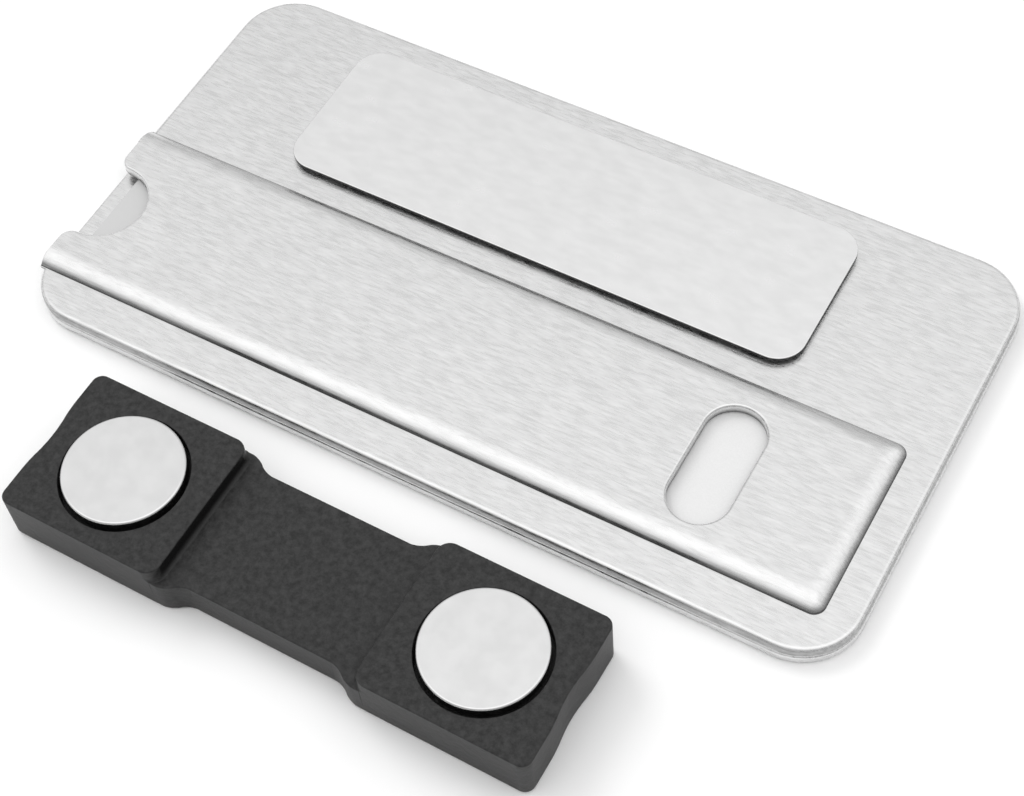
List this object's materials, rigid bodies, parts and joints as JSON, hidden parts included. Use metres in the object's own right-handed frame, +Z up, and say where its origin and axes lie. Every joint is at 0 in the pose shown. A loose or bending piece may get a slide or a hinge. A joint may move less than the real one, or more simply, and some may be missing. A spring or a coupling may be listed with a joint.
{
  "type": "magnetic name badge",
  "caption": "Flat metal name badge, face down, with a side-loading card pocket and keeper strip on its back, and its loose magnet bar beside it.",
  "frame": {"origin": "middle of the whole object's box, badge and magnet bar together, on the surface that both lie on", "axes": "+X along the badge, away from the pocket's open end; +Y across it, away from the magnet bar; +Z up, out of the badge's back"},
  "size_m": [0.076, 0.0588, 0.0052],
  "materials": {
    "brushed_sheet": "fine brushed lengthwise",
    "keeper_steel": "smooth satin",
    "foam": "matt closed-cell foam tape",
    "card": "smooth blank card",
    "clear_sheet": "clear glossy plastic film",
    "bar_plastic": "fine spark-eroded mould grain",
    "nickel": "bright nickel plate"
  },
  "bodies": {
    "badge": {"front_plate": "brushed_sheet", "back_plate": "brushed_sheet", "window_pane": "clear_sheet", "foam_tape": "foam", "keeper_strip": "keeper_steel", "magnet_bar": "bar_plastic", "magnet_left": "nickel", "magnet_right": "nickel"},
    "insert": {"insert_card": "card"}
  },
  "joints": [
    {"name": "card_slide", "type": "slide", "parent": "badge", "child": "insert", "axis": [-1, 0, 0], "range_m": [0, 0.06]}
  ]
}
